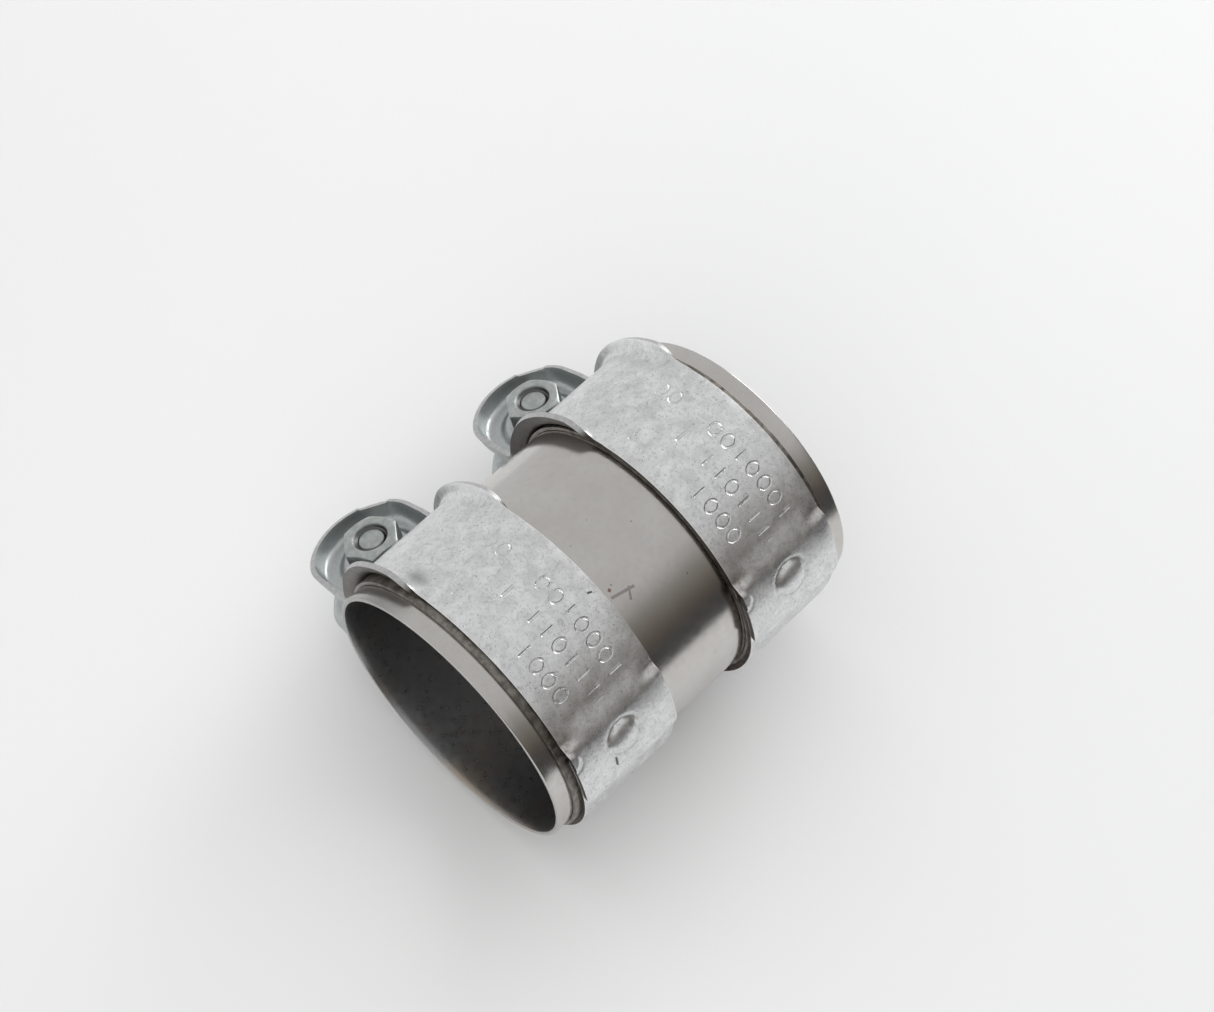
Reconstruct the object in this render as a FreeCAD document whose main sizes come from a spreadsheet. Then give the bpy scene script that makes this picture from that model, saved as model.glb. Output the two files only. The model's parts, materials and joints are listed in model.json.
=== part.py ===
"""Sleeve connector for a tube joint, closed by two band clamps.

A thin steel sleeve takes a tube end from each side. Two identical band clamps go round
it. Each clamp is two straps that lap on the side away from the ears, a thin liner ring
under them, and an M8 flange bolt and nut through the two cupped ears. Each ear has a
round raised seat pressed up under the nut or the bolt head.

Frame: origin at the middle of the bore, +Y along the bore, +Z up with the part at rest.
Every piece is drawn "upright", with the ears towards -X and the bolt along Z, and its
Placement then leans it about Y until the bolt heads and the strap flanges share one floor.
Lengths are in millimetres.
"""
import math
import os

import FreeCAD
import Part
import Sketcher

Vector = FreeCAD.Vector

DIMENSIONS = {
    # sleeve
    "bore_radius": 34.0,
    "sleeve_wall": 1.2,
    "sleeve_length": 95.0,
    # clamp straps
    "strap_thickness": 1.3,
    "band_width": 28.5,
    "band_pitch": 54.4,
    "band_inner_radius": 36.3,
    "flange_radius": 40.9,
    "flange_full_angle": 76.0,
    "flange_end_angle": 90.0,
    "flange_half_width": 15.4,
    # lap of the two straps, opposite the ears
    "lap_gap": 0.05,
    "joggle_start_angle": 18.0,
    "joggle_end_angle": 13.0,
    "outer_lap_angle": -13.0,
    "inner_lap_angle": 11.0,
    "button_angle": 2.0,
    "button_radius": 4.2,
    "button_rise": 1.3,
    "button_shoulder": 0.1,
    # ears
    "bolt_offset": 46.3,
    "floor_top": 5.0,
    "bend_radius": 5.0,
    "rim_height": 9.5,
    "ear_tip_radius": 16.8,
    "ear_corner_radius": 9.0,
    "ear_outer_round": 2.2,
    "ear_inner_round": 1.0,
    "ear_hole_radius": 4.5,
    "seat_rise": 1.95,
    "seat_foot_radius": 10.0,
    "seat_top_radius": 8.4,
    # liner ring
    "liner_clearance": 0.05,
    "liner_thickness": 0.9,
    "liner_lip": 1.6,
    "liner_recess": 0.4,
    "liner_gap": 2.0,
    # M8 flange bolt and nut
    "thread_radius": 3.6,
    "thread_clearance": 0.05,
    "across_flats": 13.0,
    "nut_height": 6.8,
    "head_height": 7.8,
    "collar_radius": 8.4,
    "collar_edge": 1.2,
    "collar_height": 2.2,
    "bolt_length": 30.0,
    "bolt_chamfer": 0.9,
    "thread_recess": 0.85,
    "corner_chamfer_angle": 30.0,
    "seat_gap": 0.05,
    # how far a cutting outline runs past the metal it cuts
    "run_out": 1.0,
}
NUT_TURN = 24.0  # degrees; the nuts stand a little off square with the ears
NEAR = 1e-4  # two levels closer than this are the same
CUT_AT_LEAST = 0.001  # cubic millimetres

document = FreeCAD.newDocument("sleeve_connector")
sheet = document.addObject("Spreadsheet::Sheet", "sheet")
for row, (alias, number) in enumerate(DIMENSIONS.items(), start=1):
    sheet.set(f"A{row}", alias)
    sheet.set(f"B{row}", str(number))
    sheet.setAlias(f"B{row}", alias)
document.recompute()

# Names for lengths that several pieces share, as expressions of the sheet's cells.
TERMS = {
    "sleeve_radius": "(sheet.bore_radius + sheet.sleeve_wall)",
    "band_radius": "(sheet.band_inner_radius + sheet.strap_thickness)",
    "lap_inner": "(sheet.band_inner_radius + sheet.strap_thickness + sheet.lap_gap)",
    "lap_outer": "(sheet.band_inner_radius + 2 * sheet.strap_thickness + sheet.lap_gap)",
    "floor_bottom": "(sheet.floor_top - sheet.strap_thickness)",
    "bend_outer": "(sheet.bend_radius + sheet.strap_thickness)",
    "seat_top": "(sheet.floor_top + sheet.seat_rise)",
}
TERMS["bend_z"] = "(sheet.floor_top + sheet.bend_radius)"
TERMS["bend_reach"] = f"({TERMS['band_radius']} + sheet.bend_radius)"
TERMS["bend_x"] = f"(sqrt({TERMS['bend_reach']} ^ 2 - {TERMS['bend_z']} ^ 2))"
TERMS["bend_angle"] = f"(asin({TERMS['bend_z']} / {TERMS['bend_reach']}))"
TERMS["nut_bottom"] = f"({TERMS['seat_top']} + sheet.seat_gap)"
TERMS["nut_top"] = f"({TERMS['nut_bottom']} + sheet.nut_height)"
TERMS["bolt_end"] = f"({TERMS['nut_top']} - sheet.thread_recess)"
TERMS["head_top"] = f"({TERMS['bolt_end']} - sheet.bolt_length)"
TERMS["head_bottom"] = f"({TERMS['head_top']} - sheet.head_height)"
TERMS["corner_radius"] = "(sheet.across_flats / sqrt(3))"


def term(text):
    """Put the shared terms, written {like_this}, into an expression."""
    return text.format(**TERMS)


def number(text):
    """The value of an expression, as a plain number."""
    result = document.sheet.evalExpression(term(text).replace("sheet.", ""))
    return float(getattr(result, "Value", result))


def polar(radius, angle, mirror=1):
    """Expressions for a point at a radius and an angle above +X; mirror -1 flips Z."""
    sign = "" if mirror > 0 else "-"
    return (f"{radius} * cos({angle})", f"{sign}{radius} * sin({angle})")


def plane(body, role):
    """One of a body's own origin planes."""
    return next(item for item in body.Origin.OriginFeatures if item.Role == role)


def new_body(name):
    return document.addObject("PartDesign::Body", name)


def new_sketch(body, name, role, offset="0"):
    """A sketch on an origin plane, moved along the plane's normal by an expression."""
    sketch = body.newObject("Sketcher::SketchObject", name)
    sketch.AttachmentSupport = [(plane(body, role), "")]
    sketch.MapMode = "FlatFace"
    if offset != "0":
        sketch.setExpression("AttachmentOffset.Base.z", term(offset))
    return sketch


def bind(sketch, constraint, expression):
    """Add a dimension to a sketch and bind it to the sheet."""
    index = sketch.addConstraint(constraint)
    sketch.setExpression(f"Constraints[{index}]", term(expression))


def outline(sketch, corners):
    """Draw a closed outline of lines and arcs, every size bound to the sheet.

    Each corner is (x, z, edge): its place, as expressions, and the edge that leaves it:
    None for a line, or (centre x, centre z, turn) for an arc, turn +1 anticlockwise.
    """
    places = [Vector(number(x), number(z), 0) for x, z, _ in corners]
    starts = []
    for index, (_, _, edge) in enumerate(corners):
        here, there = places[index], places[(index + 1) % len(places)]
        if edge is None:
            sketch.addGeometry(Part.LineSegment(here, there))
            starts.append((index, 1, 2))
            continue
        centre = Vector(number(edge[0]), number(edge[1]), 0)
        first, last = (here, there) if edge[2] > 0 else (there, here)
        angles = [math.atan2(p.y - centre.y, p.x - centre.x) for p in (first, last)]
        if angles[1] < angles[0]:
            angles[1] += 2 * math.pi
        circle = Part.Circle(centre, Vector(0, 0, 1), (first - centre).Length)
        sketch.addGeometry(Part.ArcOfCircle(circle, *angles))
        starts.append((index, 1, 2) if edge[2] > 0 else (index, 2, 1))
    for index, (geometry, start, end) in enumerate(starts):
        following = starts[(index + 1) % len(starts)]
        sketch.addConstraint(Sketcher.Constraint("Coincident", geometry, end,
                                                 following[0], following[1]))
        x, z, edge = corners[index]
        bind(sketch, Sketcher.Constraint("DistanceX", geometry, start, places[index].x), x)
        bind(sketch, Sketcher.Constraint("DistanceY", geometry, start, places[index].y), z)
        if edge is not None:
            # An arc's radius follows from its centre and the corner where it starts.
            radius = sketch.Geometry[geometry].Radius
            reach = f"sqrt((({edge[0]}) - ({x})) ^ 2 + (({edge[1]}) - ({z})) ^ 2)"
            bind(sketch, Sketcher.Constraint("Radius", geometry, radius), reach)


def circle(sketch, x, radius):
    """Draw a circle centred on the sketch's first axis."""
    geometry = sketch.addGeometry(
        Part.Circle(Vector(number(x), 0, 0), Vector(0, 0, 1), number(radius)))
    sketch.addConstraint(Sketcher.Constraint("PointOnObject", geometry, 3, -1))
    bind(sketch, Sketcher.Constraint("DistanceX", geometry, 3, number(x)), x)
    bind(sketch, Sketcher.Constraint("Radius", geometry, number(radius)), radius)


def bolt_axis(sketch):
    """Add a construction line along the bolt to a sketch; the name of its axis."""
    reach = -number("sheet.bolt_offset")
    line = Part.LineSegment(Vector(reach, 0, 0), Vector(reach, 1, 0))
    geometry = sketch.addGeometry(line, True)
    sketch.addConstraint(Sketcher.Constraint("Vertical", geometry))
    sketch.addConstraint(Sketcher.Constraint("PointOnObject", geometry, 1, -1))
    bind(sketch, Sketcher.Constraint("DistanceX", geometry, 1, reach), "-sheet.bolt_offset")
    bind(sketch, Sketcher.Constraint("DistanceY", geometry, 1, geometry, 2, 1.0), "1")
    return "Axis0"


def pad(body, sketch, length, middle=False, reverse=False):
    feature = body.newObject("PartDesign::Pad", sketch.Name + "_pad")
    feature.Profile = sketch
    feature.Midplane = middle
    feature.Reversed = reverse
    feature.setExpression("Length", term(length))
    document.recompute()
    return feature


def pocket(body, sketch, length, middle=False, reverse=False):
    """Cut a sketch out of a body, and stop if nothing came away."""
    before = body.Shape.Volume
    feature = body.newObject("PartDesign::Pocket", sketch.Name + "_pocket")
    feature.Profile = sketch
    feature.Midplane = middle
    feature.Reversed = reverse
    feature.setExpression("Length", term(length))
    document.recompute()
    if body.Shape.Volume > before - CUT_AT_LEAST:
        raise RuntimeError(f"{feature.Name} cut nothing")
    return feature


def spin(body, sketch, kind, axis_name):
    """Revolve or groove a sketch right round one of its axes."""
    before = body.Shape.Volume if body.Tip else 0.0
    feature = body.newObject(f"PartDesign::{kind}", sketch.Name + "_turned")
    feature.Profile = sketch
    feature.ReferenceAxis = (sketch, [axis_name])
    feature.Angle = 360.0
    document.recompute()
    if kind == "Groove" and body.Shape.Volume > before - CUT_AT_LEAST:
        raise RuntimeError(f"{feature.Name} cut nothing")
    return feature


def mirrored(body, features, role):
    feature = body.newObject("PartDesign::Mirrored", features[0].Name + "_mirrored")
    feature.Originals = features
    feature.MirrorPlane = (plane(body, role), [""])
    body.Tip = feature
    document.recompute()
    return feature


def make_sleeve(name):
    body = new_body(name)
    sketch = new_sketch(body, name + "_section", "XZ_Plane")
    circle(sketch, "0", "{sleeve_radius}")
    circle(sketch, "0", "sheet.bore_radius")
    pad(body, sketch, "sheet.sleeve_length", middle=True)
    return body


def make_liner(name, outer_side):
    """A rolled ring with a butt gap, whose lip shows past the band's outer side.

    outer_side is -1 where the sleeve's end is towards -Y, and +1 where it is towards +Y.
    """
    body = new_body(name)
    shift = f"{outer_side} * (sheet.liner_lip + sheet.liner_recess) / 2"
    sketch = new_sketch(body, name + "_section", "XZ_Plane", f"-({shift})")
    inner = "({sleeve_radius} + sheet.liner_clearance)"
    circle(sketch, "0", f"({inner} + sheet.liner_thickness)")
    circle(sketch, "0", inner)
    pad(body, sketch, "sheet.band_width + sheet.liner_lip - sheet.liner_recess", middle=True)
    # The butt gap is at the bottom, under the bolt-side strap.
    gap = new_sketch(body, name + "_gap", "XZ_Plane")
    half, deep = "sheet.liner_gap / 2", "-({band_radius} + sheet.run_out)"
    outline(gap, [(f"-{half}", deep, None), (half, deep, None),
                  (half, "-sheet.bore_radius", None), (f"-{half}", "-sheet.bore_radius", None)])
    pocket(body, gap, "2 * sheet.band_width", middle=True)
    return body


def strip_outline(sketch, side):
    """Side view of the strap's sheet: lap end, round the band, bend, floor of the ear.

    side +1 is the nut's strap, with the joggle and the outer lap; -1 is the bolt's strap.
    """
    z = "" if side > 0 else "-"
    floor_x = "-(sheet.bolt_offset)"
    centre = ("-{bend_x}", f"{z}{{bend_z}}")
    turned = "(180 deg - {bend_angle})"
    origin = ("0", "0")
    corners = [(floor_x, f"{z}sheet.floor_top", None),
               ("-{bend_x}", f"{z}sheet.floor_top", (*centre, side))]
    corners.append((*polar("{band_radius}", turned, side), (*origin, -side)))
    if side > 0:
        corners += [(*polar("{band_radius}", "sheet.joggle_start_angle"), None),
                    (*polar("{lap_outer}", "sheet.joggle_end_angle"), (*origin, -1)),
                    (*polar("{lap_outer}", "sheet.outer_lap_angle"), None),
                    (*polar("{lap_inner}", "sheet.outer_lap_angle"), (*origin, 1)),
                    (*polar("{lap_inner}", "sheet.joggle_end_angle"), None),
                    (*polar("sheet.band_inner_radius", "sheet.joggle_start_angle"),
                     (*origin, 1))]
    else:
        corners += [(*polar("{band_radius}", "sheet.inner_lap_angle"), None),
                    (*polar("sheet.band_inner_radius", "sheet.inner_lap_angle"),
                     (*origin, -1))]
    corners += [(*polar("sheet.band_inner_radius", turned, side), (*centre, -side)),
                ("-{bend_x}", f"{z}{{floor_bottom}}", None),
                (floor_x, f"{z}{{floor_bottom}}", None)]
    outline(sketch, corners)


def flange_outline(sketch, side):
    """Side view of the wall that stands up along each edge, from the crest to the ear."""
    z = "" if side > 0 else "-"
    centre = ("-{bend_x}", f"{z}{{bend_z}}")
    turned = "(180 deg - {bend_angle})"
    origin = ("0", "0")
    wall_end = "-(sheet.bolt_offset)"
    rim_x = "-sqrt(sheet.flange_radius ^ 2 - sheet.rim_height ^ 2)"
    crest = "(180 - sheet.flange_end_angle)"
    full = "(180 - sheet.flange_full_angle)"
    outline(sketch, [
        (wall_end, f"{z}sheet.rim_height", None),
        (rim_x, f"{z}sheet.rim_height", (*origin, -side)),
        (*polar("sheet.flange_radius", full, side), None),
        (*polar("{band_radius}", crest, side), None),
        (*polar("sheet.band_inner_radius", crest, side), (*origin, side)),
        (*polar("sheet.band_inner_radius", turned, side), (*centre, -side)),
        ("-{bend_x}", f"{z}{{floor_bottom}}", None),
        (wall_end, f"{z}{{floor_bottom}}", None)])


def ear_outline(sketch, inset):
    """Plan of the cupped ear: straight sides, rounded corners and a tip round the bolt."""
    half = f"(sheet.flange_half_width - {inset})"
    tip = f"(sheet.ear_tip_radius - {inset})"
    corner = f"(sheet.ear_corner_radius - {inset})"
    centre_y = f"({half} - {corner})"
    reach = f"({tip} - {corner})"
    out = f"sqrt({reach} ^ 2 - {centre_y} ^ 2)"
    centre_x = f"-(sheet.bolt_offset + {out})"
    tip_x = f"-(sheet.bolt_offset + {tip} * {out} / {reach})"
    tip_y = f"({tip} * {centre_y} / {reach})"
    outline(sketch, [
        ("-{bend_x}", half, None),
        (centre_x, half, (centre_x, centre_y, 1)),
        (tip_x, tip_y, ("-sheet.bolt_offset", "0", 1)),
        (tip_x, f"-{tip_y}", (centre_x, f"-{centre_y}", 1)),
        (centre_x, f"-{half}", None),
        ("-{bend_x}", f"-{half}", None)])


def round_edges(body, choose, radius, name):
    """Fillet the edges of the body's last feature that choose() picks."""
    base = body.Tip
    names = [f"Edge{i}" for i, edge in enumerate(base.Shape.Edges, start=1) if choose(edge)]
    feature = body.newObject("PartDesign::Fillet", name)
    feature.Base = (base, names)
    feature.setExpression("Radius", radius)
    document.recompute()
    return feature


def make_strap(name, side):
    """One strap. side +1 is the nut's, which laps outside; -1 is the bolt's, mirrored."""
    body = new_body(name)
    up = side > 0
    thickness = "sheet.strap_thickness"
    # Cupped ear: a block, hollowed from its open face.
    block = new_sketch(body, name + "_ear", "XY_Plane", f"{side} * {{floor_bottom}}")
    ear_outline(block, "0")
    pad(body, block, "sheet.rim_height - {floor_bottom}", reverse=not up)

    def level(edge, expression):
        box = edge.BoundBox
        z = side * number(expression)
        return box.ZLength < NEAR and abs(box.ZMin - z) < NEAR

    open_end = -number("{bend_x}")
    def ear_edge(edge):
        return level(edge, "{floor_bottom}") and edge.BoundBox.XMin < open_end - NEAR

    round_edges(body, ear_edge, "sheet.ear_outer_round", name + "_ear_round")
    cup = new_sketch(body, name + "_cup", "XY_Plane", f"{side} * sheet.rim_height")
    ear_outline(cup, thickness)
    pocket(body, cup, "sheet.rim_height - sheet.floor_top", reverse=not up)

    def cup_corner(edge):
        box = edge.BoundBox
        inside = box.YMax < number("sheet.flange_half_width") - NEAR
        return level(edge, "sheet.floor_top") and inside and box.XMin < open_end - NEAR

    round_edges(body, cup_corner, "sheet.ear_inner_round", name + "_cup_round")
    # The strip itself, and the wall along each of its edges.
    strip = new_sketch(body, name + "_strip", "XZ_Plane")
    strip_outline(strip, side)
    pad(body, strip, "sheet.band_width", middle=True)
    wall = new_sketch(body, name + "_flange", "XZ_Plane",
                      "sheet.flange_half_width - sheet.strap_thickness")
    flange_outline(wall, side)
    wall_pad = pad(body, wall, thickness)
    mirrored(body, [wall_pad], "XZ_Plane")
    press_seat(body, name, side)
    # Hole for the bolt.
    hole = new_sketch(body, name + "_hole", "XY_Plane")
    circle(hole, "-sheet.bolt_offset", "sheet.ear_hole_radius")
    pocket(body, hole, "4 * sheet.rim_height", middle=True)
    if up:
        make_button(body, name)
    return body


def press_seat(body, name, side):
    """Press a round raised seat into the floor of the ear, hollow underneath."""
    z = "" if side > 0 else "-"
    axis = "-sheet.bolt_offset"
    half_sheet = "(sheet.strap_thickness / 2)"
    draft = "(sheet.seat_foot_radius - sheet.seat_top_radius)"
    foot = f"({axis} - sheet.seat_foot_radius)"
    top = f"({axis} - sheet.seat_top_radius)"
    raised = new_sketch(body, name + "_seat", "XZ_Plane")
    outline(raised, [
        (axis, f"{z}(sheet.floor_top - {half_sheet})", None),
        (axis, f"{z}{{seat_top}}", None),
        (top, f"{z}{{seat_top}}", None),
        (foot, f"{z}sheet.floor_top", None),
        (foot, f"{z}(sheet.floor_top - {half_sheet})", None)])
    spin(body, raised, "Revolution", bolt_axis(raised))
    hollow = new_sketch(body, name + "_seat_hollow", "XZ_Plane")
    outline(hollow, [
        (axis, f"{z}({{floor_bottom}} - sheet.run_out)", None),
        (axis, f"{z}({{seat_top}} - sheet.strap_thickness)", None),
        (f"({top} + sheet.strap_thickness)",
         f"{z}({{seat_top}} - sheet.strap_thickness)", None),
        (f"({top} + sheet.strap_thickness - {draft})", f"{z}{{floor_bottom}}", None),
        (f"({top} + sheet.strap_thickness - {draft})",
         f"{z}({{floor_bottom}} - sheet.run_out)", None)])
    spin(body, hollow, "Groove", bolt_axis(hollow))


def make_button(body, name):
    """The round button pressed out of the lap, opposite the ears."""
    sketch = new_sketch(body, name + "_button", "XZ_Plane")
    sketch.setExpression("AttachmentOffset.Rotation.Angle", "sheet.button_angle * 1 deg")
    foot = "({lap_outer} - sheet.strap_thickness / 2)"
    top = "({lap_outer} + sheet.button_rise)"
    shoulder = "({lap_outer} + sheet.button_shoulder)"
    # Centre of the dome that passes through the top and the shoulder.
    rise = "(sheet.button_rise - sheet.button_shoulder)"
    dome = f"((sheet.button_radius ^ 2 + {rise} ^ 2) / (2 * {rise}))"
    outline(sketch, [
        (foot, "0", None),
        (top, "0", (f"({top} - {dome})", "0", 1)),
        (shoulder, "sheet.button_radius", None),
        (foot, "sheet.button_radius", None)])
    spin(body, sketch, "Revolution", "H_Axis")


def hexagon(sketch):
    """Hexagon with a flat across the X axis."""
    corner = "{corner_radius}"
    outline(sketch, [(*polar(corner, str(30 + 60 * k)), None) for k in range(6)])


def chamfer_corners(body, name, low, high, both):
    """Turn the hexagon's corners down to a cone at its outer end, or at both ends."""
    flat = "(sheet.across_flats / 2)"
    out = "({corner_radius} + sheet.run_out)"
    drop = f"(({out} - {flat}) * tan(sheet.corner_chamfer_angle))"
    ends = [(low, "+")] + ([(high, "-")] if both else [])
    for index, (face, inward) in enumerate(ends):
        beyond = "-" if inward == "+" else "+"
        sketch = new_sketch(body, f"{name}_cone{index}", "XZ_Plane")
        over = f"({face} {beyond} sheet.run_out)"
        outline(sketch, [(flat, face, None), (out, f"({face} {inward} {drop})", None),
                         (out, over, None), (flat, over, None)])
        spin(body, sketch, "Groove", "V_Axis")


def make_nut(name):
    body = new_body(name)
    sketch = new_sketch(body, name + "_hex", "XY_Plane", "{nut_bottom}")
    hexagon(sketch)
    pad(body, sketch, "sheet.nut_height")
    chamfer_corners(body, name, "{nut_bottom}", "{nut_top}", both=True)
    bore = new_sketch(body, name + "_bore", "XY_Plane", "{nut_bottom}")
    circle(bore, "0", "sheet.thread_radius + sheet.thread_clearance")
    pocket(body, bore, "sheet.nut_height", reverse=True)
    return body


def make_bolt(name):
    body = new_body(name)
    head = new_sketch(body, name + "_head", "XY_Plane", "{head_bottom}")
    hexagon(head)
    pad(body, head, "sheet.head_height")
    chamfer_corners(body, name, "{head_bottom}", "{head_top}", both=False)
    shank = new_sketch(body, name + "_collar_and_shank", "XZ_Plane")
    collar_bottom = "({head_top} - sheet.collar_height)"
    outline(shank, [
        ("0", collar_bottom, None),
        ("{corner_radius}", collar_bottom, None),
        ("sheet.collar_radius", "{head_top} - sheet.collar_edge", None),
        ("sheet.collar_radius", "{head_top}", None),
        ("sheet.thread_radius", "{head_top}", None),
        ("sheet.thread_radius", "{bolt_end} - sheet.bolt_chamfer", None),
        ("sheet.thread_radius - sheet.bolt_chamfer", "{bolt_end}", None),
        ("0", "{bolt_end}", None)])
    spin(body, shank, "Revolution", "V_Axis")
    return body


def lean_angle():
    """Lean at which the lowest edge of the bolt head is level with the strap's flange."""
    reach = number("sheet.bolt_offset + sheet.across_flats / 2")
    drop = -number("{head_bottom}")
    distance = math.hypot(reach, drop)
    height = math.asin(number("sheet.flange_radius") / distance)
    return math.degrees(height - math.atan2(drop, reach))


def place(body, along, bolt=False, turn=0.0):
    """Lean a piece about the bore and move it along Y; bolt pieces first go to the ear."""
    lean = FreeCAD.Placement(Vector(0, along, 0),
                             FreeCAD.Rotation(Vector(0, 1, 0), -lean_angle()))
    reach = -number("sheet.bolt_offset") if bolt else 0.0
    local = FreeCAD.Placement(Vector(reach, 0, 0), FreeCAD.Rotation(Vector(0, 0, 1), turn))
    body.Placement = lean * local


pieces = {"sleeve": make_sleeve("sleeve")}
place(pieces["sleeve"], 0.0)
for clamp, end in (("front", -1), ("rear", 1)):
    middle = end * DIMENSIONS["band_pitch"] / 2
    made = {
        "nut_side_strap": (make_strap(f"{clamp}_nut_side_strap", 1), False, 0.0),
        "bolt_side_strap": (make_strap(f"{clamp}_bolt_side_strap", -1), False, 0.0),
        "liner_ring": (make_liner(f"{clamp}_liner_ring", end), False, 0.0),
        "nut": (make_nut(f"{clamp}_nut"), True, NUT_TURN),
        "bolt": (make_bolt(f"{clamp}_bolt"), True, 0.0),
    }
    for piece, (body, on_bolt, turn) in made.items():
        place(body, middle, on_bolt, turn)
        pieces[f"{clamp}_{piece}"] = body
document.recompute()

for item in document.Objects:
    if "Invalid" in item.State or "Error" in item.State:
        raise RuntimeError(f"{item.Name} failed: {item.State}")
os.makedirs("parts", exist_ok=True)
for name, body in pieces.items():
    body.Label = name
    shape = body.Shape
    if shape.isNull() or not shape.isValid() or len(shape.Solids) != 1:
        raise RuntimeError(f"{name} is not one valid solid")
    shape.exportStep(f"parts/{name}.step")
    print(f"{name}: {shape.Volume:.1f} mm3")
print(f"lean {lean_angle():.3f} degrees")
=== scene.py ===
"""Looks for the sleeve connector.

Refined sheet-metal meshes, procedural metals, a pale floor and soft light.
"""

import json
import math

import bmesh
import bpy
import numpy as np
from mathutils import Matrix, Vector

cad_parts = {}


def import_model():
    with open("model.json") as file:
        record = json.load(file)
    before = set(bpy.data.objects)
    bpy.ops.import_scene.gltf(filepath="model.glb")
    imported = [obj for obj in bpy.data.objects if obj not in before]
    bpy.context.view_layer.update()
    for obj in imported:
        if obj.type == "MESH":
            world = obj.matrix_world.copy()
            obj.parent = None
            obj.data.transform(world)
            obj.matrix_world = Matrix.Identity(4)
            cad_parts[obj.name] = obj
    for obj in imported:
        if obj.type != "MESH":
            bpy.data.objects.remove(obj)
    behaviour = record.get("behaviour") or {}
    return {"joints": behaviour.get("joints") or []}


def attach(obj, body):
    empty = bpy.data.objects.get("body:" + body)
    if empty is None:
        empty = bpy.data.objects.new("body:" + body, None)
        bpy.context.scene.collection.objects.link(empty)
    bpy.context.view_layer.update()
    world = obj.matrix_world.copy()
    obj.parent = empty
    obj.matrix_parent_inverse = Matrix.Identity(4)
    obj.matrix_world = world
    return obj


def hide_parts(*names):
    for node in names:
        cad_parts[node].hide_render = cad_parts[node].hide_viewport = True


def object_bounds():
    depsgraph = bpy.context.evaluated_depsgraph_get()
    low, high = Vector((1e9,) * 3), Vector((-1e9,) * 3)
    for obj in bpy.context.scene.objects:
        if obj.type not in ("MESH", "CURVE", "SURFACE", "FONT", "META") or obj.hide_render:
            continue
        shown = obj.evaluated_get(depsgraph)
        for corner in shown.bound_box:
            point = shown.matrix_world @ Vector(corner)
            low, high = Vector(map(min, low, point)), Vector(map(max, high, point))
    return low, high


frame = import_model()
cad_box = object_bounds()

MM = 0.001
joints = {joint["name"]: joint for joint in frame["joints"]}
CLAMPS = {name: joints[name + "_nut_turn"]["pos_m"][1] / MM for name in ("front", "rear")}
BOLT_UP = joints["front_bolt_draw"]["axis"]
LEAN = math.atan2(-BOLT_UP[0], BOLT_UP[2])

# The object's sizes in millimetres. A clamp is described upright, with its ears towards -X and
# its bolt along Z through (-BOLT_X, 0), and place() leans it to where the CAD part stands.
# Heights of the ear, nut and bolt are along the bolt, from the level of the bore's axis.
BORE_RADIUS = 34.0
SLEEVE_RADIUS = 35.2
SLEEVE_HALF = 47.5
LINER_INNER = 35.25
LINER_OUTER = 36.15
LINER_LIP = 1.6
LINER_RECESS = 0.4
LINER_GAP = 2.0
SHEET = 1.3
BAND_OUTER = 37.6
LAP_OUTER = 38.95
BAND_HALF = 14.25
FLANGE_TOP = 40.85
FLANGE_HALF = 14.1
WALL_FOOT = 13.0
BOLT_X = 46.3
HOLE = 4.5
FLOOR_TOP = 5.0
BEND = 5.0
BEND_X = 41.41
EAR_TIP = 15.5
EAR_CORNER_POWER = 20
SEAT_RISE = 1.95
SEAT_TOP = 8.3
SEAT_FOOT = 10.6
BUTTON_RADIUS = 4.3
BUTTON_RISE = 1.3
NUT_BOTTOM = 7.0
NUT_HEIGHT = 6.8
ACROSS_FLATS = 13.0
FACE_SHARE = 0.955
NUT_TURN = 24.0
BOLT_END = 12.95
HEAD_TOP = -17.05
HEAD_HEIGHT = 7.8
COLLAR_RADIUS = 8.35
COLLAR_EDGE = 1.2
COLLAR_HEIGHT = 2.2
PITCH = 1.25
NUT_THREAD = (3.36, 4.02)
BOLT_THREAD = (3.3, 3.93)
THREAD_SINK = 0.95
RING_POINTS = 96

# Places round a band, in degrees above +X in the upright clamp.
OUTER_LAP_START = -13.0
INNER_LAP_START = -11.0
BUTTON_ANGLE = 3.0
NIB_ANGLE = 9.6
JOGGLE = (12.6, 17.6)
SOFT_JOGGLE = (11.0, 23.0)
STAIN_ANGLE = 16
CREASE_ANGLE = 16.5
FLANGE_START = 89
FLANGE_RISE = (89.5, 103.5)
FLANGE_END = 160
DENT_SHADE_ANGLE = 97
DENT_ANGLE = 101

# Small sizes of the strap in millimetres, and the corner that is flattened on a nut-side ear,
# in degrees round its bolt.
BAND_END_X = -36
LAP_CORNER = 1.6
FOOT_INSET = 1.35
EDGE_DROP = 0.12
EDGE_ROUND = 2.6
RIM_AT = (41.3, 46.0, 50.0, 63.0)
RIM_HEIGHTS = (10.15, 9.95, 9.5, 8.75)
STRIP_ROWS = 30
EAR_TURNS = 42
NICK_ANGLE = 143.5
NICK_HALF = 13.5
STAMP_COLUMN = 4.1
STAMP_ROW = 6.8
STAMP_EDGE = 11.0
STAMP_ROWS = (-7.6, -0.8, 6.0)

WELD = 2e-6


def smooth(x, low, high):
    """0 below low, 1 above high, eased between them."""
    t = np.clip((np.asarray(x, float) - low) / (high - low), 0, 1)
    return t * t * (3 - 2 * t)


def hump(a, b=0.0):
    """A smooth hump: 1 where a and b are 0, nearly gone where either passes 2."""
    return np.exp(-(a**2) - b**2)


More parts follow.
